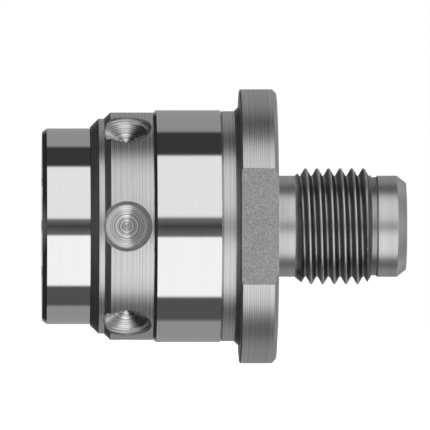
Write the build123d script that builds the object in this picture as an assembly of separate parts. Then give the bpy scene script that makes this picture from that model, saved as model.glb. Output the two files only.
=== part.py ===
"""Three-jaw drill chuck on a threaded spindle adapter, in millimetres.

The chuck's axis is X: the jaws point towards -X and the spindle thread towards +X.
The origin is on the axis, in the flange's rear seat face. Z is up, and the flange's
two spanner flats face -Y and +Y. A "radius" is always measured from the chuck's axis.
"""
from build123d import *
import math
import os

overshoot = 0.5           # how far a cutting solid passes the face it cuts through

# ---- lengths along the axis, from the seat face towards the nose ----
flange_thickness = 4.0
ring_length = 2.0
body_length = 7.45
collar_length = 6.85
cap_length = 5.2
axial_gap = 0.05          # between the turning collar and its two neighbours

# ---- jaws and the thread that drives them ----
jaw_tilt = 18.0           # degrees between a jaw and the chuck's axis
jaw_radius = 2.2
jaw_count = 3
jaw_setback = 0.2         # open jaw tips behind the nose face
jaw_bore_fit = 0.04
jaw_bore_wall = 0.55      # steel between two jaw bores at the nose
grip_open = 2.2           # radius of the grip edges with the jaws open
grip_land = 0.3           # width of the flat on a grip edge
travel = 6.0              # how far the jaws move along the chuck's axis
scroll_pitch = 1.5        # axial movement per turn of the collar
tooth_depth = 0.55
tooth_floor = 0.35        # flat at the bottom of a jaw's groove
tooth_cutter_rise = 0.4   # how far the groove's cutter stands above the jaw
ridge_crest = 0.15        # flat on top of the nut's ridge
ridge_play = 0.15         # from the ridge's crest to the groove's floor
flank_slope = math.tan(math.radians(30))
nut_length = 4.3
nut_setback = 0.7         # from the collar's rear face to the nut
nut_wall = 0.6
nut_play = 0.15           # from the nut's bore to the jaws
nut_split = 0.05
nut_groove_depth = 0.65   # below the jaws' outer line
ridge_turns = 2.1
ridge_setback = 0.6       # from the nut's front face to the ridge's middle line
ridge_root = 0.2          # how far the ridge reaches into the nut's wall
engaged_turns = 2.1       # turns still in mesh when the jaws are closed

# ---- thrust bearing behind the collar ----
race_width = 1.25
race_thickness = 0.35
race_play = 0.05
ball_diameter = 0.8
ball_play = 0.02
ball_count = 24
cage_thickness = 0.4
cage_margin = 0.05
pocket_fit = 0.04
land_wall = 0.34          # steel between the jaw bores and the bearing's inner land

# ---- body, nose cap and collar ----
body_wall = 1.55
core_step = 0.3           # how far the core lies below the nut
cap_wall = 1.4
cap_lip = 0.5
cap_opening = 7.2
cap_chamfer = (0.5, 0.35)
running_fit = 0.05
press_gap = 0.01
body_edge = 0.15
body_chamfer = (0.32, 0.25)
collar_step = 0.25        # collar radius below the body's
lip_step = 0.68           # light ring between the collar's two chamfers
lip_length = 0.6
front_chamfer = 0.92
rear_chamfer = 0.68
washer_thickness = 0.4
washer_width = 0.9
washer_play = 0.03
oring_radius = 0.29
oring_play = 0.015        # from the ring to its groove's floor
oring_setback = 0.95      # from the collar's front face to the ring's middle
tool_bore_radius = 2.25

# ---- spanner holes in the collar ----
hole_count = 6
hole_radius = 2.75
hole_wall = 0.55
hole_point_angle = 118.0
hole_setback = 2.94       # from the collar's rear face

# ---- spindle adapter ----
ring_step = 0.1           # ring radius below the body's
ring_fillet = 0.6
flange_radius = 15.0
flats_across = 27.2
flange_front_edge = 0.12
flange_rear_edge = 0.42
neck_radius = 5.53
neck_length = 2.05
thread_radius = 6.35
thread_pitch = 1.27
thread_length = 8.35
thread_phase = 0.885      # ridge position at +Y, within one pitch
thread_crest = 0.16
thread_run_in = 0.75
thread_run_out = 0.4
relief_depth = 0.16       # groove between thread and pilot, below the pilot
relief_length = 0.55
pilot_radius = 5.54
pilot_end = 14.24
pilot_chamfer = (1.0, 0.78)
spigot_radius = 4.49
spigot_length = 4.5
spigot_fit = 0.01

# ---- fasteners between body and adapter ----
screw_circle = 9.3
screw_radius = 1.25
screw_head_radius = 2.25
screw_head_height = 2.5
screw_socket = 2.0
screw_socket_depth = 1.2
screw_grip = 4.6          # thread length inside the body
screw_sink = 0.2          # head below the seat face
screw_clearance = 0.12
screw_end_room = 0.4
dowel_radius = 1.0
dowel_length = 6.0
dowel_offset = 28.0       # degrees past each screw

# ---- positions worked out from the sizes above ----
flange_front = -flange_thickness
ring_front = flange_front - ring_length
body_front = ring_front - body_length
collar_rear = body_front - axial_gap
collar_front = collar_rear - collar_length
cap_rear = collar_front - axial_gap
nose_tip = cap_rear - cap_length
jaw_tip = nose_tip + jaw_setback
nut_rear = collar_rear - nut_setback
nut_front = nut_rear - nut_length
jaw_rear = nut_front + travel + engaged_turns * scroll_pitch
tilt = math.radians(jaw_tilt)
jaw_bore_radius = jaw_radius + jaw_bore_fit
tip_axis_radius = (2 * jaw_bore_radius + jaw_bore_wall) / (2 * math.sin(math.pi / jaw_count))


def jaw_axis(x):
    """Radius of a jaw's own axis at x, with the jaws open."""
    return tip_axis_radius + (x - jaw_tip) * math.tan(tilt)


def jaw_outer(x):
    """Radius of a jaw's outermost line at x."""
    return jaw_axis(x) + jaw_radius / math.cos(tilt)


race_floor = body_front + race_thickness + ball_diameter + 2 * ball_play - axial_gap
nut_radius = jaw_outer(nut_rear) + nut_play + nut_wall
core_radius = nut_radius - core_step
land_radius = jaw_outer(race_floor) + jaw_bore_fit + land_wall
bearing_radius = land_radius + race_width + race_play
body_radius = bearing_radius + body_wall
collar_radius = body_radius - collar_step
lip_radius = collar_radius - lip_step
front_radius = lip_radius - front_chamfer
cap_radius = core_radius + cap_wall
ring_radius = body_radius - ring_step
ball_circle = land_radius + race_play + race_width / 2
ball_x = collar_rear + ball_play + ball_diameter / 2
ridge_start = nut_front + ridge_setback
oring_x = collar_front + oring_setback
oring_circle = core_radius + running_fit / 2 - oring_radius
washer_bore = core_radius + running_fit
thread_end = neck_length + thread_length


def turned(outline):
    """Solid of revolution about the chuck's axis from (x, radius) points."""
    return revolve(make_face(Polyline(*outline, close=True)), Axis.X, 360)


def around(shape, count, first=0.0):
    """Copies of a shape, evenly spaced about the chuck's axis."""
    return [Rot(X=first + 360 * n / count) * shape for n in range(count)]


def tube(front, rear, inner, outer):
    """Plain ring between two x positions."""
    return turned([(front, inner), (rear, inner), (rear, outer), (front, outer)])


def helical_ridge(profile, start, radius, pitch, turns, cone=0.0):
    """Ridge that winds about +X, right-handed, from the +Y side at x = start.

    The profile's points are (along x, outwards) from the ridge's middle line, and the
    middle line's radius grows along x by the cone's half-angle in degrees.
    """
    slant = 1 / math.cos(math.radians(cone))
    edges = []
    for along, outwards in profile:
        edge = Edge.make_helix(
            pitch * slant,
            pitch * turns,
            radius + outwards,
            center=(start + along, 0, 0),
            normal=(1, 0, 0),
            angle=cone,
        ).edges()[0]
        begin = edge.position_at(0)
        turn = math.degrees(math.atan2(begin.Z, begin.Y))
        edges.append(Rot(X=-turn) * edge)
    faces = []
    for first, second in zip(edges, edges[1:] + edges[:1]):
        faces.append(Face.make_surface_from_curves(first, second))
    for place in (0, 1):
        corners = [edge.position_at(place) for edge in edges]
        faces.append(Face(Wire.make_polygon(corners, close=True)))
    return Solid(Shell(faces))


def jaw_cylinder(radius, front, rear):
    """Tilted cylinder on the +Y jaw's axis between two x positions on that axis."""
    towards_nose = (-math.cos(tilt), -math.sin(tilt), 0)
    place = Plane(origin=(rear, jaw_axis(rear), 0), z_dir=towards_nose)
    return Solid.make_cylinder(radius, (rear - front) / math.cos(tilt), place)


def jaw_bores():
    """Room for the jaws, from behind the body to in front of the nose."""
    past_both_ends = 3.0
    bore = jaw_cylinder(jaw_bore_radius, nose_tip - past_both_ends, ring_front + past_both_ends)
    return around(bore, jaw_count, 90)


def screw_angles():
    """Angles of the adapter's screws, halfway between the jaws."""
    return [90 + (n + 0.5) * 360 / jaw_count for n in range(jaw_count)]


def bored(part, radius, front, rear, angle):
    """Cut a hole along x on the screw circle."""
    place = Plane(origin=(front, screw_circle, 0), z_dir=(1, 0, 0))
    return part - Rot(X=angle) * Solid.make_cylinder(radius, rear - front, place)


def chuck_body():
    """Steel body with its core, jaw bores, nut groove and bearing pocket."""
    groove_front = nut_front - axial_gap
    groove_rear = nut_rear + axial_gap
    land_front = collar_rear - race_thickness + axial_gap
    seal_half = oring_radius + axial_gap
    seal_floor = oring_circle - oring_radius - oring_play
    part = turned([
        (ring_front, 0),
        (ring_front, body_radius - body_edge),
        (ring_front - body_edge, body_radius),
        (body_front + body_chamfer[0], body_radius),
        (body_front, body_radius - body_chamfer[1]),
        (body_front, bearing_radius),
        (race_floor + race_thickness, bearing_radius),
        (race_floor + race_thickness, land_radius),
        (land_front, land_radius),
        (land_front, core_radius),
        (groove_rear, core_radius),
        (groove_rear, jaw_outer(groove_rear) - nut_groove_depth),
        (groove_front, jaw_outer(groove_front) - nut_groove_depth),
        (groove_front, core_radius),
        (oring_x + seal_half, core_radius),
        (oring_x + seal_half, seal_floor),
        (oring_x - seal_half, seal_floor),
        (oring_x - seal_half, core_radius),
        (nose_tip + cap_lip, core_radius),
        (nose_tip + cap_lip, 0),
    ])
    spigot_room = spigot_radius + spigot_fit
    part -= tube(nose_tip, ring_front, 0, tool_bore_radius)
    part -= tube(ring_front - spigot_length - axial_gap, ring_front, 0, spigot_room)
    for bore in jaw_bores():
        part -= bore
    for angle in screw_angles():
        depth = screw_grip + screw_end_room
        part = bored(part, screw_radius + press_gap, ring_front - depth, ring_front, angle)
        pin_depth = dowel_length / 2 + axial_gap
        pin_angle = angle + dowel_offset
        part = bored(part, dowel_radius + press_gap, ring_front - pin_depth, ring_front, pin_angle)
    return part


def nose_cap():
    """Ground cap pressed on the core, which keeps the collar on."""
    bore = core_radius + press_gap
    return turned([
        (cap_rear, bore),
        (cap_rear, cap_radius),
        (nose_tip + cap_chamfer[0], cap_radius),
        (nose_tip, cap_radius - cap_chamfer[1]),
        (nose_tip, cap_opening),
        (nose_tip + cap_lip, cap_opening),
        (nose_tip + cap_lip, bore),
    ])


def spanner_hole():
    """Blind drilled hole at +Y: a short straight wall and a drill point."""
    floor = collar_radius - hole_wall
    point = hole_radius / math.tan(math.radians(hole_point_angle / 2))
    centre = collar_rear - hole_setback
    wall = Solid.make_cylinder(
        hole_radius, collar_radius, Plane(origin=(centre, floor, 0), z_dir=(0, 1, 0))
    )
    cone = Solid.make_cone(
        0, hole_radius, point, Plane(origin=(centre, floor - point, 0), z_dir=(0, 1, 0))
    )
    return wall.fuse(cone)


def clamping_collar():
    """Turning collar with two front chamfers and six spanner holes."""
    lip_front = collar_front + front_chamfer
    lip_rear = lip_front + lip_length
    nut_bore = nut_radius + press_gap
    washer_floor = cap_rear + washer_thickness + washer_play
    part = turned([
        (collar_rear, bearing_radius),
        (collar_rear, collar_radius),
        (lip_rear + rear_chamfer, collar_radius),
        (lip_rear, lip_radius),
        (lip_front, lip_radius),
        (collar_front, front_radius),
        (collar_front, washer_bore + washer_width),
        (washer_floor, washer_bore + washer_width),
        (washer_floor, core_radius + running_fit),
        (nut_front, core_radius + running_fit),
        (nut_front, nut_bore),
        (collar_rear - race_thickness, nut_bore),
        (collar_rear - race_thickness, bearing_radius),
    ])
    for hole in around(spanner_hole(), hole_count):
        part -= hole
    return part


def jaw(angle):
    """One jaw: a tilted cylinder with a V grip and ring-cut teeth on its outer side."""
    past_tip = 2.0
    blank = jaw_cylinder(jaw_radius, jaw_tip - past_tip, jaw_rear)
    reach = 4 * jaw_radius + jaw_outer(jaw_rear)
    side = grip_land / 2 + reach * math.tan(math.pi / jaw_count)
    wedge = extrude(
        make_face(Polyline(
            (jaw_tip, grip_open, -grip_land / 2),
            (jaw_tip, grip_open, grip_land / 2),
            (jaw_tip, grip_open + reach, side),
            (jaw_tip, grip_open + reach, -side),
            close=True,
        )),
        amount=jaw_rear - jaw_tip + 2 * jaw_radius,
        dir=(1, 0, 0),
    )
    part = blank & wedge
    phase = ridge_start + scroll_pitch * angle / 360
    first = math.ceil((nut_front - phase) / scroll_pitch)
    last = math.floor((jaw_rear + jaw_radius - phase) / scroll_pitch)
    for n in range(first, last + 1):
        x = phase + n * scroll_pitch
        floor = jaw_outer(x) - tooth_depth
        narrow = tooth_floor / 2
        height = tooth_depth + tooth_cutter_rise
        wide = narrow + height * flank_slope
        part -= turned([
            (x - wide, floor + height),
            (x - narrow, floor),
            (x + narrow, floor),
            (x + wide, floor + height),
        ])
    return Rot(X=angle) * part


def scroll_nut():
    """Nut with the conical inner thread that drives the jaws, still in one piece."""
    ring = turned([
        (nut_front, jaw_outer(nut_front) + nut_play),
        (nut_rear, jaw_outer(nut_rear) + nut_play),
        (nut_rear, nut_radius),
        (nut_front, nut_radius),
    ])
    crest = -(tooth_depth - ridge_play)
    root = nut_play + ridge_root
    narrow = ridge_crest / 2
    wide = narrow + (root - crest) * flank_slope
    ridge = helical_ridge(
        [(-wide, root), (-narrow, crest), (narrow, crest), (wide, root)],
        ridge_start,
        jaw_outer(ridge_start),
        scroll_pitch,
        ridge_turns,
        jaw_tilt,
    )
    return ring + ridge


def nut_half(nut, side):
    """Upper (side = 1) or lower (side = -1) half of the split nut."""
    size = 3 * nut_radius
    middle = (nut_front + nut_rear) / 2
    block = Pos(middle, 0, side * (size + nut_split) / 2) * Box(size, size, size)
    return nut & block


def race(front):
    """Hardened flat washer that the balls run on."""
    inner = land_radius + race_play
    return tube(front, front + race_thickness, inner, bearing_radius - press_gap)


def bearing_balls():
    """Loose balls on one circle."""
    ball = Pos(ball_x, ball_circle, 0) * Sphere(ball_diameter / 2)
    return Compound(around(ball, ball_count))


def ball_cage():
    """Thin ring with one pocket for each ball."""
    inner = land_radius + race_play + cage_margin
    outer = bearing_radius - cage_margin
    part = tube(ball_x - cage_thickness / 2, ball_x + cage_thickness / 2, inner, outer)
    place = Plane(origin=(ball_x - cage_thickness, ball_circle, 0), z_dir=(1, 0, 0))
    pocket = Solid.make_cylinder(ball_diameter / 2 + pocket_fit, 2 * cage_thickness, place)
    for cut in around(pocket, ball_count):
        part -= cut
    return part


def front_thrust_washer():
    """Bronze washer between the nose cap and the collar."""
    outer = washer_bore + washer_width - running_fit
    return tube(cap_rear, cap_rear + washer_thickness, washer_bore, outer)


def collar_o_ring():
    """Seal in the core's groove, inside the collar's bore."""
    place = Plane(origin=(oring_x, 0, 0), z_dir=(1, 0, 0))
    return Solid.make_torus(oring_circle, oring_radius, place)


def mounting_arbor():
    """Spindle adapter: spigot, ring, flange with two flats, neck, thread and pilot."""
    pilot_front = thread_end + relief_length + relief_depth
    outline = [
        (ring_front - spigot_length, 0),
        (ring_front - spigot_length, spigot_radius),
        (ring_front, spigot_radius),
        (ring_front, ring_radius - ring_step),
        (ring_front + ring_step, ring_radius),
        (flange_front - ring_fillet, ring_radius),
        (flange_front, ring_radius + ring_fillet),
        (flange_front, flange_radius - flange_front_edge),
        (flange_front + flange_front_edge, flange_radius),
        (-flange_rear_edge, flange_radius),
        (0, flange_radius - flange_rear_edge),
        (0, neck_radius),
        (thread_end, neck_radius),
        (thread_end, pilot_radius - relief_depth),
        (thread_end + relief_length, pilot_radius - relief_depth),
        (pilot_front, pilot_radius),
        (pilot_end - pilot_chamfer[0], pilot_radius),
        (pilot_end, pilot_radius - pilot_chamfer[1]),
        (pilot_end, 0),
    ]
    part = turned(outline)
    corner = Pos(flange_front - ring_fillet, ring_radius + ring_fillet)
    cove = make_face(
        Polyline((flange_front, ring_radius + ring_fillet),
                 (flange_front - ring_fillet, ring_radius + ring_fillet),
                 (flange_front - ring_fillet, ring_radius),
                 close=True)
    ) & (corner * Circle(ring_fillet))
    part -= revolve(cove, Axis.X, 360)
    deep = flange_radius
    length = flange_thickness + overshoot
    middle = Pos(overshoot - length / 2, (flats_across + deep) / 2, 0)
    flat = middle * Box(length, deep, 4 * deep)
    for side in around(flat, 2):
        part -= side
    part += spindle_thread()
    head_room = screw_head_radius + screw_clearance
    for angle in screw_angles():
        shank_room = screw_radius + screw_clearance
        part = bored(part, shank_room, ring_front, overshoot, angle)
        part = bored(part, head_room, -screw_head_height - screw_sink, overshoot, angle)
        pin_depth = dowel_length / 2 + axial_gap
        pin_angle = angle + dowel_offset
        part = bored(part, dowel_radius + press_gap, ring_front, ring_front + pin_depth, pin_angle)
    return part


def spindle_thread():
    """External 60 degree thread, run out at both ends."""
    overlap = 0.1
    height = thread_radius - neck_radius + overlap
    narrow = thread_crest / 2
    wide = narrow + height * flank_slope
    turns = math.ceil(thread_length / thread_pitch) + 1
    ridge = helical_ridge(
        [(-wide, -height), (-narrow, 0), (narrow, 0), (wide, -height)],
        neck_length - thread_pitch + thread_phase,
        thread_radius,
        thread_pitch,
        turns,
    )
    inside = neck_radius - 2 * overlap
    envelope = turned([
        (neck_length, inside),
        (neck_length, neck_radius),
        (neck_length + thread_run_in, thread_radius + overlap),
        (thread_end - thread_run_out, thread_radius + overlap),
        (thread_end, neck_radius),
        (thread_end, inside),
    ])
    return ridge & envelope


def arbor_screws():
    """Socket head screws that hold the adapter on the body."""
    under_head = -screw_sink - screw_head_height
    head = Solid.make_cylinder(
        screw_head_radius, screw_head_height,
        Plane(origin=(under_head, screw_circle, 0), z_dir=(1, 0, 0)),
    )
    length = under_head - ring_front + screw_grip
    shank = Solid.make_cylinder(
        screw_radius, length, Plane(origin=(under_head, screw_circle, 0), z_dir=(-1, 0, 0))
    )
    socket_plane = Plane(origin=(-screw_sink, screw_circle, 0), z_dir=(-1, 0, 0))
    socket_face = socket_plane * RegularPolygon(screw_socket / 2, 6, major_radius=False)
    socket = extrude(socket_face, amount=screw_socket_depth)
    screw = head + shank - socket
    return Compound([Rot(X=angle) * screw for angle in screw_angles()])


def arbor_dowel_pins():
    """Dowels that carry the torque between adapter and body."""
    place = Plane(origin=(ring_front - dowel_length / 2, screw_circle, 0), z_dir=(1, 0, 0))
    pin = Solid.make_cylinder(dowel_radius, dowel_length, place)
    return Compound([Rot(X=angle + dowel_offset) * pin for angle in screw_angles()])


def main():
    """Build every piece and write it to parts/."""
    os.makedirs("parts", exist_ok=True)
    nut = scroll_nut()
    pieces = {
        "chuck_body": chuck_body(),
        "nose_cap": nose_cap(),
        "clamping_collar": clamping_collar(),
        "nut_half_upper": nut_half(nut, 1),
        "nut_half_lower": nut_half(nut, -1),
        "front_race": race(collar_rear - race_thickness),
        "rear_race": race(race_floor),
        "bearing_balls": bearing_balls(),
        "ball_cage": ball_cage(),
        "front_thrust_washer": front_thrust_washer(),
        "collar_o_ring": collar_o_ring(),
        "mounting_arbor": mounting_arbor(),
        "arbor_screws": arbor_screws(),
        "arbor_dowel_pins": arbor_dowel_pins(),
    }
    for n in range(jaw_count):
        pieces[f"jaw_{n + 1}"] = jaw(90 + n * 360 / jaw_count)
    for name, piece in pieces.items():
        export_step(piece, f"parts/{name}.step")


main()
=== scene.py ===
import math

import bmesh
import bpy
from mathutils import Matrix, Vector


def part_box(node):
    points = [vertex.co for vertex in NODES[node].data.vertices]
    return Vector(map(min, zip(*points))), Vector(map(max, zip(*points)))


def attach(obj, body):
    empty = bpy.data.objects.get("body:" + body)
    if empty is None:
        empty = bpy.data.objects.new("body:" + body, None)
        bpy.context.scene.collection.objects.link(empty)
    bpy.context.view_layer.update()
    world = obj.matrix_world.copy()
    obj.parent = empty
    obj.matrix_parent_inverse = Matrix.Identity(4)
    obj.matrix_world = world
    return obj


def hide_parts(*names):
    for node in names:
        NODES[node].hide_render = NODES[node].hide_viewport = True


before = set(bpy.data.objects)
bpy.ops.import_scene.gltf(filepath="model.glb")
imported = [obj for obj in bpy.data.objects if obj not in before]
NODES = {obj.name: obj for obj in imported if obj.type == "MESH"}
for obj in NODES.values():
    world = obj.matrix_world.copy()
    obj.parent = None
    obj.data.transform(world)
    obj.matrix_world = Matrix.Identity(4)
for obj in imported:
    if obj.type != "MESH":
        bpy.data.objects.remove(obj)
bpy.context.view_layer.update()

bl_info = {
    "name": "Drill chuck finishes",
    "version": (1, 0, 0),
    "blender": (4, 5, 0),
    "location": "3D View > Sidebar > Chuck",
    "description": "Ground, turned and threaded steel for a three-jaw drill chuck",
    "category": "Object",
}

MM = 0.001

# Meshes
AXIS_TOLERANCE = 0.1        # how far a facet may lean from the surface it was cut from
WELD = 0.0005 * MM          # points closer than this become one
HOLE_MARGIN = 1.001         # share of the hole's radius inside which a facet is the hole's
FLAT_MARGIN = 0.01 * MM     # how far inside the widest point a facet is still a flat
SEAM = 0.4 * MM             # where the flange and thread pieces meet, behind the seat face
SHARP_ANGLE = 35            # degrees past which an edge of the thread piece stays sharp

# Thread form
FLANK_ANGLE = 30            # degrees, half the angle between two flanks
CREST_HALF = 0.08 * MM      # half the width of the crest's flat
CREST_ROUND = 0.08 * MM     # blend from crest to flank
COVER_ROUND = 0.03 * MM     # blend where the thread grows and fades
ROOT_ROUND = 0.05 * MM      # blend from flank to root
GRID_AROUND = 160
GRID_ALONG = 480
BALL_DETAIL = 4

# Studio light at the two ends, as: from, to, level at from, level at to
NOSE_BEYOND = (0.08, 0.26, 0.025, 0.5)      # past the line that the front chamfers reflect
NOSE_FRONT = (-0.52, -0.32, 0.45, 0.025)    # from the front towards the nose
NOSE_SHARE = (-0.28, -0.1, 1.0, 0.0)        # where the nose end's levels hold
THREAD_SHORT = (-0.2, -0.1, 1.0, 0.0)       # short of the rear chamfer's line
THREAD_BACK = (0.25, 0.4, 0.0, 0.6)
THREAD_FRONT = (-0.45, -0.3, 0.5, 0.0)
THREAD_SHARE = (0.2, 0.45, 0.0, 1.0)        # where the thread end's levels hold
THREAD_LEVEL = 0.3
# Studio light round the axis, by turn from straight in front in degrees
UPPER = {"box": 0.98, "gap": 0.045, "slot_start": 6.0, "slot_end": 11.0}
LOWER = {"box": 1.16, "gap": 0.1, "slot_start": 9.0, "slot_end": 12.0}
SLOT_LEVELS = (0.06, 0.16)
GAP_EDGE = (72.5, 77.0, 0.0, 1.0)
BACK_EDGE = (105.0, 112.0, 0.0, 1.0)
BACK_LEVEL = 0.34


# ---------------------------------------------------------------- settings

class ChuckSizes(bpy.types.PropertyGroup):
    """Sizes of the repeated and ruled shapes."""

    thread_pitch: bpy.props.FloatProperty(
        name="Thread pitch", description="Axial distance between two thread crests",
        default=1.27 * MM, unit="LENGTH", precision=5)
    crest_radius: bpy.props.FloatProperty(
        name="Crest radius", description="Radius over the thread's crests",
        default=6.35 * MM, unit="LENGTH", precision=5)
    neck_radius: bpy.props.FloatProperty(
        name="Neck radius", description="Radius of the neck and of the thread's root",
        default=5.53 * MM, unit="LENGTH", precision=5)
    thread_start: bpy.props.FloatProperty(
        name="Thread start", description="Where the thread begins, from the seat face",
        default=2.05 * MM, unit="LENGTH", precision=5)
    thread_end: bpy.props.FloatProperty(
        name="Thread end", description="Where the thread meets its relief groove",
        default=10.4 * MM, unit="LENGTH", precision=5)
    run_in: bpy.props.FloatProperty(
        name="Run-in", description="Length over which the thread grows to full depth",
        default=1.0 * MM, unit="LENGTH", precision=5)
    run_out: bpy.props.FloatProperty(
        name="Run-out", description="Length over which the thread fades before the groove",
        default=0.55 * MM, unit="LENGTH", precision=5)
    relief_length: bpy.props.FloatProperty(
        name="Relief length", description="Groove between thread and pilot, along the axis",
        default=0.55 * MM, unit="LENGTH", precision=5)
    relief_depth: bpy.props.FloatProperty(
        name="Relief depth", description="Depth of that groove below the pilot",
        default=0.16 * MM, unit="LENGTH", precision=5)
    thread_phase: bpy.props.FloatProperty(
        name="Thread phase", description="Crest position on the +Y side",
        default=1.665 * MM, unit="LENGTH", precision=5)
    pilot_radius: bpy.props.FloatProperty(
        name="Pilot radius", description="Radius of the plain pilot past the thread",
        default=5.54 * MM, unit="LENGTH", precision=5)
    pilot_chamfer_length: bpy.props.FloatProperty(
        name="Pilot chamfer length", description="Chamfer at the pilot's end, along the axis",
        default=1.0 * MM, unit="LENGTH", precision=5)
    pilot_chamfer_depth: bpy.props.FloatProperty(
        name="Pilot chamfer depth", description="Chamfer at the pilot's end, across the axis",
        default=0.78 * MM, unit="LENGTH", precision=5)
    hole_count: bpy.props.IntProperty(
        name="Spanner holes", description="Number of holes round the collar", default=6)
    hole_radius: bpy.props.FloatProperty(
        name="Spanner hole radius", description="Radius of a spanner hole",
        default=2.75 * MM, unit="LENGTH", precision=5)
    hole_setback: bpy.props.FloatProperty(
        name="Spanner hole setback", description="From the collar's rear face to a hole's axis",
        default=2.94 * MM, unit="LENGTH", precision=5)
    ball_count: bpy.props.IntProperty(
        name="Balls", description="Number of balls in the thrust bearing", default=24)


class ChuckFinish(bpy.types.PropertyGroup):
    """Colours and finish of the steels."""

    polished: bpy.props.FloatVectorProperty(
        name="Ground steel", description="Reflected colour of the ground surfaces",
        default=(0.76, 0.76, 0.765), subtype="COLOR", size=3)
    turned: bpy.props.FloatVectorProperty(
        name="Turned steel", description="Reflected colour of the turned surfaces",
        default=(0.66, 0.66, 0.665), subtype="COLOR", size=3)
    hardened: bpy.props.FloatVectorProperty(
        name="Hardened steel", description="Reflected colour of jaws and nut",
        default=(0.42, 0.42, 0.43), subtype="COLOR", size=3)
    # painted shade: the dark colour laid on the thread's flanks, root and relief groove
    thread_shade: bpy.props.FloatVectorProperty(
        name="Thread flank shade", description="Reflected colour of the thread's flanks",
        default=(0.22, 0.22, 0.22), subtype="COLOR", size=3)
    milled: bpy.props.FloatVectorProperty(
        name="Milled steel", description="Reflected colour of the spanner flats",
        default=(0.5, 0.5, 0.5), subtype="COLOR", size=3)
    lapped: bpy.props.FloatVectorProperty(
        name="Lapped steel", description="Reflected colour of balls and races",
        default=(0.78, 0.78, 0.8), subtype="COLOR", size=3)
    bronze: bpy.props.FloatVectorProperty(
        name="Bronze", description="Reflected colour of ball cage and thrust washer",
        default=(0.34, 0.26, 0.18), subtype="COLOR", size=3)
    blackened: bpy.props.FloatVectorProperty(
        name="Blackened steel", description="Reflected colour of the screws",
        default=(0.05, 0.05, 0.055), subtype="COLOR", size=3)
    rubber: bpy.props.FloatVectorProperty(
        name="Rubber", description="Colour of the seal",
        default=(0.02, 0.02, 0.021), subtype="COLOR", size=3)
    polished_roughness: bpy.props.FloatProperty(
        name="Ground roughness", description="Blur of the ground surfaces",
        default=0.07, subtype="FACTOR")
    turned_roughness: bpy.props.FloatProperty(
        name="Turned roughness", description="Blur of the turned surfaces",
        default=0.35, subtype="FACTOR")
    line_spacing: bpy.props.FloatProperty(
        name="Line spacing", description="Distance between turning lines",
        default=0.19 * MM, unit="LENGTH", precision=6)


def sizes():
    """The scene's sizes."""
    return bpy.context.scene.chuck_sizes


def finishes():
    """The scene's colours and finishes."""
    return bpy.context.scene.chuck_finish


# ---------------------------------------------------------------- node helpers

def feed(tree, value, socket):
    """Link a socket to an input, or set a plain value on it."""
    if isinstance(value, bpy.types.NodeSocket):
        tree.links.new(value, socket)
    else:
        socket.default_value = value


def put(tree, kind, settings=None, **inputs):
    """Add a node, set its properties, and feed its inputs by name."""
    node = tree.nodes.new(kind)
    for name, value in (settings or {}).items():
        setattr(node, name, value)
    for name, value in inputs.items():
        feed(tree, value, node.inputs[name.replace("_", " ")])
    return node


def calc(tree, operation, *values):
    """Math node's result for up to three values or sockets."""
    node = put(tree, "ShaderNodeMath", {"operation": operation})
    for socket, value in zip(node.inputs, values):
        feed(tree, value, socket)
    return node.outputs[0]


def spread(tree, value, low, high, to_low, to_high, kind="LINEAR"):
    """Map a value's range onto another, clamped."""
    node = put(tree, "ShaderNodeMapRange", {"interpolation_type": kind})
    for socket, number in zip(node.inputs, (value, low, high, to_low, to_high)):
        feed(tree, number, socket)
    return node.outputs[0]


def mixed(tree, factor, low, high):
    """Blend two values or sockets by a factor."""
    node = put(tree, "ShaderNodeMix", {"data_type": "FLOAT"})
    for number, value in ((0, factor), (2, low), (3, high)):
        feed(tree, value, node.inputs[number])
    return node.outputs[0]


def mixed_colours(tree, factor, low, high, blend="MIX"):
    """Blend two colours by a factor; a Mix node keeps its colours in sockets 6 and 7."""
    node = put(tree, "ShaderNodeMix", {"data_type": "RGBA", "blend_type": blend})
    for number, value in ((0, factor), (6, low), (7, high)):
        feed(tree, value, node.inputs[number])
    return node.outputs[2]


def hypotenuse(tree, first, second):
    """Root of the sum of two squares."""
    squares = [calc(tree, "POWER", side, 2.0) for side in (first, second)]
    return calc(tree, "SQRT", calc(tree, "ADD", *squares))


def split(tree, vector):
    """A vector's three coordinates."""
    return put(tree, "ShaderNodeSeparateXYZ", Vector=vector).outputs


def new_group(name, inputs, outputs, kind="ShaderNodeTree"):
    """Node group with named sockets; returns it with its input and output nodes."""
    tree = bpy.data.node_groups.new(name, kind)
    for label, socket_type, value in inputs:
        socket = tree.interface.new_socket(label, in_out="INPUT", socket_type=socket_type)
        if value is not None:
            socket.default_value = value
    for label, socket_type in outputs:
        tree.interface.new_socket(label, in_out="OUTPUT", socket_type=socket_type)
    return tree, tree.nodes.new("NodeGroupInput"), tree.nodes.new("NodeGroupOutput")


# ---------------------------------------------------------------- shared effects

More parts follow.
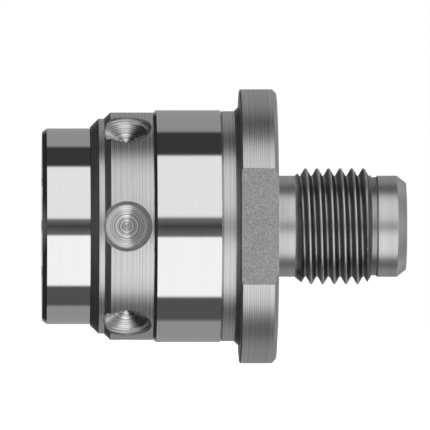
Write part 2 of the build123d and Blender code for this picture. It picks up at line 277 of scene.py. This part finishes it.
def tool_lines_group():
    """Fine uneven lines along one coordinate, as a lathe or grinding wheel leaves."""
    tree, given, result = new_group(
        "tool_lines",
        [("Along", "NodeSocketFloat", 0.0), ("Spacing", "NodeSocketFloat", 0.16 * MM),
         ("Seed", "NodeSocketFloat", 0.0)],
        [("Height", "NodeSocketFloat"), ("Shade", "NodeSocketFloat")],
    )
    wander, feed_share, slow_share = 3.0, 0.14, 0.2
    turns = calc(tree, "DIVIDE", given.outputs["Along"], given.outputs["Spacing"])
    place = calc(tree, "ADD", turns, given.outputs["Seed"])
    fine = put(tree, "ShaderNodeTexNoise", {"noise_dimensions": "1D"}, W=place, Scale=1.0,
               Detail=2.0, Roughness=0.6).outputs["Fac"]
    slow = put(tree, "ShaderNodeTexNoise", {"noise_dimensions": "1D"}, W=place, Scale=0.13,
               Detail=1.0).outputs["Fac"]
    wandered = calc(tree, "ADD", place, calc(tree, "MULTIPLY", slow, wander))
    feed_lines = calc(tree, "SINE", calc(tree, "MULTIPLY", wandered, 2 * math.pi))
    marks = calc(tree, "MULTIPLY_ADD", feed_lines, feed_share, fine)
    tree.links.new(marks, result.inputs["Height"])
    level = calc(tree, "MULTIPLY_ADD", slow, slow_share,
                 calc(tree, "MULTIPLY", marks, 1 - slow_share))
    tree.links.new(level, result.inputs["Shade"])
    return tree


def speckle_group():
    """Fine random grain of a milled or blasted surface."""
    tree, given, result = new_group(
        "speckle",
        [("Vector", "NodeSocketVector", None), ("Grain", "NodeSocketFloat", 0.25 * MM)],
        [("Height", "NodeSocketFloat"), ("Shade", "NodeSocketFloat")],
    )
    patch_share, patch_scale = 0.12, 0.12
    scale = calc(tree, "DIVIDE", 1.0, given.outputs["Grain"])
    grain = put(tree, "ShaderNodeTexNoise", Vector=given.outputs["Vector"], Scale=scale,
                Detail=3.0, Roughness=0.65).outputs["Fac"]
    patch = put(tree, "ShaderNodeTexNoise", Vector=given.outputs["Vector"],
                Scale=calc(tree, "MULTIPLY", scale, patch_scale), Detail=1.0).outputs["Fac"]
    tree.links.new(grain, result.inputs["Height"])
    both = calc(tree, "MULTIPLY_ADD", patch, patch_share,
                calc(tree, "MULTIPLY", grain, 1 - patch_share))
    tree.links.new(both, result.inputs["Shade"])
    return tree


def axis_distance_group():
    """Distance of a place from the chuck's axis."""
    tree, given, result = new_group(
        "axis_distance", [("Vector", "NodeSocketVector", None)], [("Distance", "NodeSocketFloat")])
    place = split(tree, given.outputs["Vector"])
    tree.links.new(hypotenuse(tree, place["Y"], place["Z"]), result.inputs["Distance"])
    return tree


EFFECTS = {"tool_lines": tool_lines_group, "speckle": speckle_group,
           "axis_distance": axis_distance_group}


def effect(tree, name, **inputs):
    """Place a shader group, built on first use, and feed its inputs; returns its outputs."""
    node = tree.nodes.new("ShaderNodeGroup")
    node.node_tree = bpy.data.node_groups.get(name) or EFFECTS[name]()
    for label, value in inputs.items():
        feed(tree, value, node.inputs[label])
    return node.outputs


# ---------------------------------------------------------------- materials

def new_material(name, roughness, metallic=1.0):
    """Material with a Principled shader; returns it, its tree, its shader and the place on it."""
    material = bpy.data.materials.new(name)
    material.use_nodes = True
    tree = material.node_tree
    shader = tree.nodes["Principled BSDF"]
    shader.inputs["Metallic"].default_value = metallic
    shader.inputs["Roughness"].default_value = roughness
    return material, tree, shader, put(tree, "ShaderNodeTexCoord").outputs["Object"]


def shaded(tree, colour, shade, contrast):
    """Colour whose brightness follows a mask round one half."""
    level = spread(tree, shade, 0.3, 0.7, 1 - contrast, 1 + contrast)
    grey = put(tree, "ShaderNodeCombineColor", Red=level, Green=level, Blue=level)
    return mixed_colours(tree, 1.0, (*colour, 1), grey.outputs[0], "MULTIPLY")


def bump(tree, shader, height, depth, under=None):
    """Raise the surface by a height map; depth is in metres."""
    node = put(tree, "ShaderNodeBump", Height=height, Distance=depth, Strength=1.0)
    if under is not None:
        tree.links.new(under, node.inputs["Normal"])
    tree.links.new(node.outputs["Normal"], shader.inputs["Normal"])
    return node.outputs["Normal"]


def lined(name, colour, roughness, spacing, depth, contrast, seed=0.0, uneven=0.15):
    """Metal with lines round the chuck's axis; uneven is the roughness's change between them."""
    material, tree, shader, place = new_material(name, roughness)
    lines = effect(tree, "tool_lines", Along=split(tree, place)["X"], Spacing=spacing, Seed=seed)
    tree.links.new(shaded(tree, colour, lines["Shade"], contrast), shader.inputs["Base Color"])
    if uneven:
        rough = spread(tree, lines["Shade"], 0.3, 0.7,
                       roughness * (1 - uneven), roughness * (1 + uneven))
        tree.links.new(rough, shader.inputs["Roughness"])
    bump(tree, shader, lines["Height"], depth)
    return material


def grained(name, colour, roughness, grain, contrast, depth=None, metallic=1.0):
    """Surface with a fine random grain, raised by a depth if one is given."""
    material, tree, shader, place = new_material(name, roughness, metallic)
    speckle = effect(tree, "speckle", Vector=place, Grain=grain)
    tree.links.new(shaded(tree, colour, speckle["Shade"], contrast), shader.inputs["Base Color"])
    if depth is not None:
        bump(tree, shader, speckle["Height"], depth)
    return material


def polished_steel():
    """Ground, bright steel with faint grinding lines."""
    look = finishes()
    return lined("polished_steel", look.polished, look.polished_roughness,
                 spacing=0.5 * look.line_spacing, depth=0.02 * look.line_spacing, contrast=0.03)


def turned_steel(name, seed):
    """Satin steel with clear turning lines."""
    look = finishes()
    return lined(name, look.turned, look.turned_roughness, spacing=look.line_spacing,
                 depth=0.06 * look.line_spacing, contrast=0.22, seed=seed)


def milled_steel():
    """Milled spanner flats: no lines, only a fine random grain."""
    return grained("milled_steel", finishes().milled, roughness=0.5, grain=0.22 * MM,
                   contrast=0.35, depth=0.01 * MM)


def hardened_steel():
    """Ground tool steel of jaws, nut and pins."""
    return grained("hardened_steel", finishes().hardened, roughness=0.32, grain=0.12 * MM,
                   contrast=0.15, depth=0.002 * MM)


def bearing_steel():
    """Lapped balls and races."""
    return grained("bearing_steel", finishes().lapped, roughness=0.08, grain=0.3 * MM,
                   contrast=0.04)


def bronze():
    """Plain bearing bronze."""
    return lined("bronze", finishes().bronze, roughness=0.3, spacing=0.08 * MM,
                 depth=0.003 * MM, contrast=0.1, seed=5.0, uneven=0.0)


def black_oxide_steel():
    """Blackened screws."""
    return grained("black_oxide_steel", finishes().blackened, roughness=0.42, grain=0.1 * MM,
                   contrast=0.3)


def seal_rubber():
    """Moulded nitrile seal."""
    return grained("seal_rubber", finishes().rubber, roughness=0.55, grain=0.1 * MM,
                   contrast=0.2, metallic=0.0)


def hole_middle():
    """Where the spanner holes' axes stand along the chuck."""
    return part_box("clamping_collar")[1].x - sizes().hole_setback


def drilled_steel():
    """Inside of the spanner holes, with rings round each hole's own axis."""
    size = sizes()
    material, tree, shader, place = new_material("drilled_steel", roughness=0.26)
    x, y, z = split(tree, place)
    step = 2 * math.pi / size.hole_count
    angle = calc(tree, "ARCTAN2", z, y)
    nearest = calc(tree, "MULTIPLY", calc(tree, "ROUND", calc(tree, "DIVIDE", angle, step)), step)
    local = calc(tree, "SUBTRACT", angle, nearest)
    radius = effect(tree, "axis_distance", Vector=place)["Distance"]
    across = calc(tree, "MULTIPLY", radius, calc(tree, "SINE", local))
    along = calc(tree, "SUBTRACT", x, hole_middle())
    ring = hypotenuse(tree, across, along)
    lines = effect(tree, "tool_lines", Along=ring, Spacing=0.24 * MM, Seed=11.0)
    tree.links.new(shaded(tree, finishes().turned, lines["Shade"], contrast=0.3),
                   shader.inputs["Base Color"])
    rim_start, rim_depth, line_depth = 0.84 * size.hole_radius, 0.35 * MM, 0.02 * MM
    rim = spread(tree, ring, rim_start, size.hole_radius, 0.0, 1.0, "SMOOTHSTEP")
    rounded = bump(tree, shader, rim, rim_depth)
    bump(tree, shader, lines["Height"], line_depth, under=rounded)
    return material


def thread_steel():
    """Cut thread: bright crests, with painted shade darkening the flanks, the root and the relief
    groove floor.
    """
    look = finishes()
    size = sizes()
    material, tree, shader, place = new_material("thread_steel", roughness=0.36)
    x = split(tree, place)["X"]
    radius = effect(tree, "axis_distance", Vector=place)["Distance"]
    lines = effect(tree, "tool_lines", Along=x, Spacing=0.12 * MM, Seed=7.0)
    steel = shaded(tree, look.turned, lines["Shade"], contrast=0.15)
    # painted shade: inside the thread and its relief groove the colour is darkened by depth, most on
    # the flanks, less at the root, none on the crests
    shade_start = (size.thread_start, size.thread_start + 0.3 * MM)
    groove_end = size.thread_end + size.relief_length
    shade_end = (groove_end, groove_end + size.relief_depth)
    root = (size.neck_radius + 0.02 * MM, size.neck_radius + 0.1 * MM)
    crest = (size.crest_radius - 0.2 * MM, size.crest_radius - 0.1 * MM)
    root_shade, flank_shade = 0.55, 0.95
    inside = calc(tree, "MULTIPLY", spread(tree, x, *shade_start, 0.0, 1.0),
                  spread(tree, x, *shade_end, 1.0, 0.0))
    depth = calc(tree, "MULTIPLY", spread(tree, radius, *root, root_shade, flank_shade),
                 spread(tree, radius, *crest, 1.0, 0.0))
    painted_shade = calc(tree, "MULTIPLY", depth, inside)
    # the painted shade mask blends the steel towards the dark thread shade colour
    tree.links.new(mixed_colours(tree, painted_shade, steel, (*look.thread_shade, 1)), shader.inputs["Base Color"])
    bump(tree, shader, lines["Height"], 0.004 * MM)
    return material


def give(node, material):
    """Put one material on a CAD node."""
    for entry in NODES[node].material_slots:
        entry.material = material


# ---------------------------------------------------------------- mesh helpers

def add_object(name, mesh):
    """Link a new object at the origin."""
    piece = bpy.data.objects.new(name, mesh)
    bpy.context.scene.collection.objects.link(piece)
    return piece


def merged_copy(node, name, materials):
    """Copy of a CAD node's mesh with its loose triangles joined and new materials."""
    mesh = NODES[node].data.copy()
    mesh.name = name
    mesh.materials.clear()
    for material in materials:
        mesh.materials.append(material)
    work = bmesh.new()
    work.from_mesh(mesh)
    bmesh.ops.remove_doubles(work, verts=work.verts, dist=WELD)
    work.to_mesh(mesh)
    work.free()
    return mesh


def revolved_normal(normal, point, centre, origin, axis):
    """Normal at a point of a surface turned about an axis, from its facet's normal.

    Returns nothing where the facet isn't part of such a surface.
    """
    def outward(place):
        arm = place - origin
        arm = arm - axis * arm.dot(axis)
        return arm.normalized() if arm.length > 1e-7 else None

    middle = outward(centre)
    here = outward(point)
    if middle is None or here is None:
        return normal
    along = normal.dot(axis)
    side = math.copysign(math.sqrt(max(0.0, 1 - along * along)), normal.dot(middle))
    if (axis * along + middle * side - normal).length > AXIS_TOLERANCE:
        return None
    return (axis * along + here * side).normalized()


def hole_axes():
    """Centre and direction of each spanner hole."""
    count = sizes().hole_count
    centre = Vector((hole_middle(), 0, 0))
    angles = [2 * math.pi * n / count for n in range(count)]
    return [(centre, Vector((0, math.cos(angle), math.sin(angle)))) for angle in angles]


def lies_in_hole(places, origin, axis):
    """Whether a facet's corners are all in the hole along an axis."""
    arms = [place - origin for place in places]
    across = [(arm - axis * arm.dot(axis)).length for arm in arms]
    ahead = min(arm.dot(axis) for arm in arms) > 0
    return ahead and max(across) < sizes().hole_radius * HOLE_MARGIN


def smooth_mesh(mesh):
    """Shade every face of a mesh smoothly."""
    for face in mesh.polygons:
        face.use_smooth = True


def smooth_turned(mesh, hole_slot=None, flat_slot=None):
    """Give turned surfaces their true normals, and put holes and flats in their own slots."""
    chuck_axis = (Vector((0, 0, 0)), Vector((1, 0, 0)))
    holes = [] if hole_slot is None else hole_axes()
    flat_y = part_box("mounting_arbor")[1].y
    normals = [None] * len(mesh.loops)
    for face in mesh.polygons:
        places = [mesh.vertices[i].co for i in face.vertices]
        centre = sum(places, Vector()) / len(places)
        axis = chuck_axis
        face.material_index = 0
        for hole in holes:
            if lies_in_hole(places, *hole):
                axis = hole
                face.material_index = hole_slot
        if flat_slot is not None and min(abs(place.y) for place in places) > flat_y - FLAT_MARGIN:
            axis = None
            face.material_index = flat_slot
        for loop, place in zip(face.loop_indices, places):
            normals[loop] = face.normal.copy()
            if axis is not None:
                found = revolved_normal(face.normal, place, centre, *axis)
                if found is not None:
                    normals[loop] = found
    smooth_mesh(mesh)
    mesh.normals_split_custom_set(normals)


def finished(name, mesh, body, slot, *nodes):
    """Place a finished piece on its body, in place of CAD nodes."""
    piece = add_object(name, mesh)
    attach(piece, body)
    if nodes:
        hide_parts(*nodes)
    return piece


# ---------------------------------------------------------------- geometry nodes

def apply_nodes(name, tree, values):
    """Run a geometry tree on an empty mesh and return the result as a plain mesh."""
    carrier = add_object(name + "_carrier", bpy.data.meshes.new(name + "_carrier"))
    modifier = carrier.modifiers.new("build", "NODES")
    modifier.node_group = tree
    for item in tree.interface.items_tree:
        if item.item_type == "SOCKET" and item.in_out == "INPUT" and item.name in values:
            modifier[item.identifier] = values[item.name]
    graph = bpy.context.evaluated_depsgraph_get()
    mesh = bpy.data.meshes.new_from_object(carrier.evaluated_get(graph), depsgraph=graph)
    mesh.name = name
    carrier.modifiers.remove(modifier)
    bpy.data.objects.remove(carrier)
    return mesh


def end_tree(tree, geometry, material, result):
    """Close a geometry tree: realise, set the material, output."""
    realised = put(tree, "GeometryNodeRealizeInstances", Geometry=geometry)
    coated = put(tree, "GeometryNodeSetMaterial", Geometry=realised.outputs[0])
    coated.inputs["Material"].default_value = material
    tree.links.new(coated.outputs[0], result.inputs["Geometry"])


def thread_tree(material):
    """Neck, thread and pilot as one height field wrapped round the axis."""
    labels = ["Front", "Rear", "Pitch", "Crest radius", "Neck radius", "Pilot radius",
              "Thread start", "Thread end", "Run-in", "Run-out", "Phase",
              "Relief length", "Relief depth", "Chamfer length", "Chamfer depth"]
    inputs = [(label, "NodeSocketFloat", 0.0) for label in labels]
    inputs += [("Around", "NodeSocketInt", GRID_AROUND), ("Along", "NodeSocketInt", GRID_ALONG)]
    tree, given, result = new_group(
        "spindle_thread", inputs, [("Geometry", "NodeSocketGeometry")], "GeometryNodeTree")
    value = given.outputs
    grid = put(tree, "GeometryNodeMeshGrid", Size_X=1.0, Size_Y=1.0,
               Vertices_X=value["Along"], Vertices_Y=value["Around"])
    place = split(tree, put(tree, "GeometryNodeInputPosition").outputs[0])
    share = calc(tree, "ADD", place["X"], 0.5)
    turn = calc(tree, "ADD", place["Y"], 0.5)
    length = calc(tree, "SUBTRACT", value["Rear"], value["Front"])
    x = calc(tree, "MULTIPLY_ADD", share, length, value["Front"])
    lead = calc(tree, "DIVIDE", calc(tree, "SUBTRACT", x, value["Phase"]), value["Pitch"])
    lead = calc(tree, "SUBTRACT", lead, turn)
    off = calc(tree, "ABSOLUTE", calc(tree, "SUBTRACT", lead, calc(tree, "ROUND", lead)))
    away = calc(tree, "MULTIPLY", off, value["Pitch"])
    slope = 1 / math.tan(math.radians(FLANK_ANGLE))
    fall = calc(tree, "MULTIPLY", calc(tree, "SUBTRACT", away, CREST_HALF), slope)
    ridge = calc(tree, "SMOOTH_MIN", calc(tree, "SUBTRACT", value["Crest radius"], fall),
                 value["Crest radius"], CREST_ROUND)
    depth = calc(tree, "SUBTRACT", value["Crest radius"], value["Neck radius"])
    grow = calc(tree, "DIVIDE", calc(tree, "SUBTRACT", x, value["Thread start"]), value["Run-in"])
    fade = calc(tree, "DIVIDE", calc(tree, "SUBTRACT", value["Thread end"], x), value["Run-out"])
    full = calc(tree, "MINIMUM", calc(tree, "MINIMUM", grow, fade), 1.0)
    cover = calc(tree, "MULTIPLY_ADD", calc(tree, "MAXIMUM", full, -1.0), depth, value["Neck radius"])
    ridge = calc(tree, "SMOOTH_MIN", ridge, cover, COVER_ROUND)
    groove = calc(tree, "SUBTRACT", value["Pilot radius"], value["Relief depth"])
    ramp = calc(tree, "SUBTRACT", x, calc(tree, "ADD", value["Thread end"], value["Relief length"]))
    rise = calc(tree, "ADD", groove, calc(tree, "MAXIMUM", ramp, 0.0))
    behind = calc(tree, "MINIMUM", rise, value["Pilot radius"])
    past = calc(tree, "GREATER_THAN", x, value["Thread end"])
    radius = calc(tree, "SMOOTH_MAX", ridge, value["Neck radius"], ROOT_ROUND)
    radius = calc(tree, "MINIMUM", radius, value["Crest radius"])
    radius = calc(tree, "MULTIPLY_ADD", past, calc(tree, "SUBTRACT", behind, radius), radius)
    tip = calc(tree, "SUBTRACT", x, calc(tree, "SUBTRACT", value["Rear"], value["Chamfer length"]))
    cut = calc(tree, "DIVIDE", calc(tree, "MAXIMUM", tip, 0.0), value["Chamfer length"])
    radius = calc(tree, "SUBTRACT", radius, calc(tree, "MULTIPLY", cut, value["Chamfer depth"]))
    angle = calc(tree, "MULTIPLY", turn, 2 * math.pi)
    spot = put(tree, "ShaderNodeCombineXYZ", X=x,
               Y=calc(tree, "MULTIPLY", radius, calc(tree, "COSINE", angle)),
               Z=calc(tree, "MULTIPLY", radius, calc(tree, "SINE", angle)))
    moved = put(tree, "GeometryNodeSetPosition", Geometry=grid.outputs["Mesh"],
                Position=spot.outputs[0])
    end_tree(tree, moved.outputs[0], material, result)
    return tree


def balls_tree(material):
    """Bearing balls, evenly spaced on their circle."""
    inputs = [("Count", "NodeSocketInt", 24), ("Circle radius", "NodeSocketFloat", 0.0),
              ("Ball radius", "NodeSocketFloat", 0.0), ("Middle", "NodeSocketFloat", 0.0)]
    tree, given, result = new_group(
        "ball_row", inputs, [("Geometry", "NodeSocketGeometry")], "GeometryNodeTree")
    value = given.outputs
    circle = put(tree, "GeometryNodeMeshCircle", Vertices=value["Count"],
                 Radius=value["Circle radius"])
    shift = put(tree, "ShaderNodeCombineXYZ", X=value["Middle"])
    upright = put(tree, "GeometryNodeTransform", Geometry=circle.outputs[0],
                  Translation=shift.outputs[0], Rotation=(math.pi / 2, 0, math.pi / 2))
    ball = put(tree, "GeometryNodeMeshIcoSphere", Radius=value["Ball radius"], Subdivisions=BALL_DETAIL)
    row = put(tree, "GeometryNodeInstanceOnPoints", Points=upright.outputs[0],
              Instance=ball.outputs[0])
    end_tree(tree, row.outputs[0], material, result)
    return tree


# ---------------------------------------------------------------- pieces

def cut_off_thread(flange):
    """Take away the part of the adapter behind the seam."""
    work = bmesh.new()
    work.from_mesh(flange)
    everything = work.verts[:] + work.edges[:] + work.faces[:]
    bmesh.ops.bisect_plane(work, geom=everything, plane_co=(SEAM, 0, 0),
                           plane_no=(1, 0, 0), clear_outer=True)
    work.to_mesh(flange)
    work.free()


def close_thread(ridges):
    """Join the thread's wrapped edges, close its ends and smooth it."""
    work = bmesh.new()
    work.from_mesh(ridges)
    bmesh.ops.remove_doubles(work, verts=work.verts, dist=WELD)
    ends = [edge for edge in work.edges if edge.is_boundary]
    bmesh.ops.holes_fill(work, edges=ends, sides=0)
    bmesh.ops.recalc_face_normals(work, faces=work.faces)
    work.to_mesh(ridges)
    work.free()
    smooth_mesh(ridges)
    ridges.set_sharp_from_angle(angle=math.radians(SHARP_ANGLE))


class CHUCK_OT_ground_parts(bpy.types.Operator):
    """Finish the polished nose cap and rear body"""

    bl_idname = "chuck.ground_parts"
    bl_label = "Ground parts"

    def execute(self, context):
        steel = polished_steel()
        for node in ("nose_cap", "chuck_body"):
            mesh = merged_copy(node, node + "_ground", [steel])
            smooth_turned(mesh)
            finished(node + "_ground", mesh, "chuck", "polished_steel", node)
        return {"FINISHED"}


class CHUCK_OT_collar(bpy.types.Operator):
    """Finish the turned collar and its drilled spanner holes"""

    bl_idname = "chuck.collar"
    bl_label = "Clamping collar"

    def execute(self, context):
        mesh = merged_copy("clamping_collar", "clamping_collar_turned",
                           [turned_steel("turned_steel", seed=3.0), drilled_steel()])
        smooth_turned(mesh, hole_slot=1)
        finished("clamping_collar_turned", mesh, "collar", "turned_steel", "clamping_collar")
        return {"FINISHED"}


class CHUCK_OT_arbor(bpy.types.Operator):
    """Finish the adapter: flange with its flats, neck, thread and pilot"""

    bl_idname = "chuck.arbor"
    bl_label = "Spindle adapter"

    def execute(self, context):
        size = sizes()
        ridges = apply_nodes("spindle_thread", thread_tree(thread_steel()), {
            "Front": SEAM, "Rear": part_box("mounting_arbor")[1].x, "Pitch": size.thread_pitch,
            "Crest radius": size.crest_radius, "Neck radius": size.neck_radius,
            "Pilot radius": size.pilot_radius, "Thread start": size.thread_start,
            "Thread end": size.thread_end, "Run-in": size.run_in, "Run-out": size.run_out,
            "Phase": size.thread_phase, "Relief length": size.relief_length,
            "Relief depth": size.relief_depth, "Chamfer length": size.pilot_chamfer_length,
            "Chamfer depth": size.pilot_chamfer_depth,
        })
        flange = merged_copy("mounting_arbor", "adapter_flange",
                             [turned_steel("adapter_steel", seed=5.0), milled_steel()])
        cut_off_thread(flange)
        smooth_turned(flange, flat_slot=1)
        finished("adapter_flange", flange, "chuck", "thread_steel", "mounting_arbor")
        close_thread(ridges)
        finished("adapter_thread", ridges, "chuck", "thread_steel")
        return {"FINISHED"}


class CHUCK_OT_jaws(bpy.types.Operator):
    """Finish jaws, nut halves and dowels"""

    bl_idname = "chuck.jaws"
    bl_label = "Jaws and nut"

    def execute(self, context):
        steel = hardened_steel()
        for node in ("jaw_1", "jaw_2", "jaw_3", "nut_half_upper", "nut_half_lower",
                     "arbor_dowel_pins"):
            give(node, steel)
        give("arbor_screws", black_oxide_steel())
        return {"FINISHED"}


class CHUCK_OT_bearing(bpy.types.Operator):
    """Finish the thrust bearing, washer and seal"""

    bl_idname = "chuck.bearing"
    bl_label = "Bearing and seal"

    def execute(self, context):
        steel = bearing_steel()
        low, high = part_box("bearing_balls")
        ball_radius = (high.x - low.x) / 2
        mesh = apply_nodes("bearing_balls_lapped", balls_tree(steel), {
            "Count": sizes().ball_count, "Ball radius": ball_radius,
            "Circle radius": high.y - ball_radius, "Middle": (low.x + high.x) / 2,
        })
        smooth_mesh(mesh)
        finished("bearing_balls_lapped", mesh, "ball_set", "bearing_steel", "bearing_balls")
        for node in ("front_race", "rear_race"):
            give(node, steel)
        metal = bronze()
        for node in ("ball_cage", "front_thrust_washer"):
            give(node, metal)
        give("collar_o_ring", seal_rubber())
        return {"FINISHED"}


class CHUCK_OT_stage(bpy.types.Operator):
    """Camera, pale floor and soft studio light"""

    bl_idname = "chuck.stage"
    bl_label = "Stage"

    def execute(self, context):
        scene = context.scene
        scene.view_settings.view_transform = "Standard"
        add_camera(scene)
        add_floor()
        add_lamp()
        studio_world(scene)
        return {"FINISHED"}


# ---------------------------------------------------------------- stage

def add_camera(scene):
    """Long lens, square to the axis apart from a small swing towards the nose."""
    distance = 1.3
    width = 47.09 * MM
    swing = math.radians(1.25)
    aim = Vector((-6.65 * MM, 0, 1.23 * MM))
    data = bpy.data.cameras.new("camera")
    data.sensor_width = 36
    data.lens = data.sensor_width * distance / width
    data.clip_start = 0.01
    camera = bpy.data.objects.new("camera", data)
    camera.location = aim + distance * Vector((-math.sin(swing), -math.cos(swing), 0))
    camera.rotation_euler = (math.pi / 2, 0, -swing)
    scene.collection.objects.link(camera)
    scene.camera = camera


def add_floor():
    """Pale round floor under the flange."""
    clearance = 0.02 * MM
    work = bmesh.new()
    bmesh.ops.create_circle(work, cap_ends=True, segments=96, radius=0.4)
    for vert in work.verts:
        vert.co.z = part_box("mounting_arbor")[0].z - clearance
    mesh = bpy.data.meshes.new("floor")
    work.to_mesh(mesh)
    work.free()
    material = bpy.data.materials.new("pale_floor")
    material.use_nodes = True
    shader = material.node_tree.nodes["Principled BSDF"]
    shader.inputs["Base Color"].default_value = (0.6, 0.6, 0.6, 1)
    shader.inputs["Roughness"].default_value = 0.9
    shader.inputs["Emission Color"].default_value = (1, 1, 1, 1)
    shader.inputs["Emission Strength"].default_value = 0.9
    mesh.materials.append(material)
    floor = add_object("floor", mesh)
    floor.visible_glossy = False


def add_lamp():
    """Soft light from above for the floor and the dull parts."""
    data = bpy.data.lights.new("overhead", "AREA")
    data.shape = "SQUARE"
    data.size = 0.8
    data.energy = 6.0
    lamp = bpy.data.objects.new("overhead", data)
    lamp.location = (0, -0.1, 0.7)
    lamp.visible_glossy = False
    bpy.context.scene.collection.objects.link(lamp)


def level_round_axis(tree, y, z):
    """Two soft boxes with a slot between them, dark gaps past them, and grey behind."""
    flat = calc(tree, "MAXIMUM", hypotenuse(tree, y, z), 0.0001)
    front = calc(tree, "DIVIDE", calc(tree, "MULTIPLY", y, -1.0), flat)
    turn = calc(tree, "MULTIPLY", calc(tree, "ARCCOSINE", front), 180 / math.pi)
    below = spread(tree, calc(tree, "DIVIDE", z, flat), -0.1, 0.1, 1.0, 0.0)
    bright, dark, slot_start, slot_end = (
        spread(tree, below, 0.0, 1.0, UPPER[name], LOWER[name])
        for name in ("box", "gap", "slot_start", "slot_end"))
    slot = spread(tree, turn, 0.0, slot_start, *SLOT_LEVELS)
    past_slot = spread(tree, turn, slot_start, slot_end, 0.0, 1.0, "SMOOTHSTEP")
    box = calc(tree, "MAXIMUM", calc(tree, "MULTIPLY", bright, past_slot), slot)
    level = mixed(tree, spread(tree, turn, *GAP_EDGE, "SMOOTHSTEP"), box, dark)
    return mixed(tree, spread(tree, turn, *BACK_EDGE, "SMOOTHSTEP"), level, BACK_LEVEL)


def studio_world(scene):
    """Soft boxes round the chuck's axis, a dark nose end, a grey thread end, white to see."""
    world = bpy.data.worlds.new("studio")
    world.use_nodes = True
    scene.world = world
    tree = world.node_tree
    tree.nodes.clear()
    x, y, z = split(tree, put(tree, "ShaderNodeTexCoord").outputs["Generated"])
    level = level_round_axis(tree, y, z)
    # zero along the line that a chamfer of 45 degrees reflects to the camera
    off_chamfer = calc(tree, "ADD", y, calc(tree, "MULTIPLY_ADD", x, x, -1.0))
    nose_light = calc(tree, "MAXIMUM", spread(tree, off_chamfer, *NOSE_BEYOND),
                      spread(tree, y, *NOSE_FRONT))
    level = mixed(tree, spread(tree, x, *NOSE_SHARE, "SMOOTHSTEP"), level, nose_light)
    thread_light = calc(tree, "MAXIMUM", spread(tree, y, *THREAD_FRONT),
                        calc(tree, "MULTIPLY", spread(tree, off_chamfer, *THREAD_SHORT),
                             spread(tree, y, *THREAD_BACK)))
    level = mixed(tree, spread(tree, x, *THREAD_SHARE, "SMOOTHSTEP"), level,
                  calc(tree, "ADD", thread_light, THREAD_LEVEL))
    seen = put(tree, "ShaderNodeLightPath").outputs["Is Camera Ray"]
    level = mixed(tree, seen, level, 1.0)
    shade = put(tree, "ShaderNodeCombineColor", Red=level, Green=level, Blue=level)
    glow = put(tree, "ShaderNodeBackground", Color=shade.outputs[0], Strength=1.0)
    end = tree.nodes.new("ShaderNodeOutputWorld")
    tree.links.new(glow.outputs[0], end.inputs["Surface"])


# ---------------------------------------------------------------- add-on

STEPS = (CHUCK_OT_ground_parts, CHUCK_OT_collar, CHUCK_OT_arbor, CHUCK_OT_jaws,
         CHUCK_OT_bearing, CHUCK_OT_stage)


class CHUCK_PT_panel(bpy.types.Panel):
    """Lists the chuck's finishing steps"""

    bl_label = "Drill chuck"
    bl_idname = "CHUCK_PT_panel"
    bl_space_type = "VIEW_3D"
    bl_region_type = "UI"
    bl_category = "Chuck"

    def draw(self, context):
        for step in STEPS:
            self.layout.operator(step.bl_idname)
        for settings in (context.scene.chuck_sizes, context.scene.chuck_finish):
            for name in settings.bl_rna.properties.keys():
                if name not in ("rna_type", "name"):
                    self.layout.prop(settings, name)


CLASSES = (ChuckSizes, ChuckFinish, *STEPS, CHUCK_PT_panel)


def register():
    """Add the classes and the scene's settings."""
    for item in CLASSES:
        bpy.utils.register_class(item)
    bpy.types.Scene.chuck_sizes = bpy.props.PointerProperty(type=ChuckSizes)
    bpy.types.Scene.chuck_finish = bpy.props.PointerProperty(type=ChuckFinish)


def unregister():
    """Take the classes and settings away again."""
    del bpy.types.Scene.chuck_finish
    del bpy.types.Scene.chuck_sizes
    for item in reversed(CLASSES):
        bpy.utils.unregister_class(item)


def main():
    """Finish every piece and build the stage."""
    register()
    for step in STEPS:
        family, action = step.bl_idname.split(".")
        getattr(getattr(bpy.ops, family), action)()


if __name__ == "__main__":
    main()
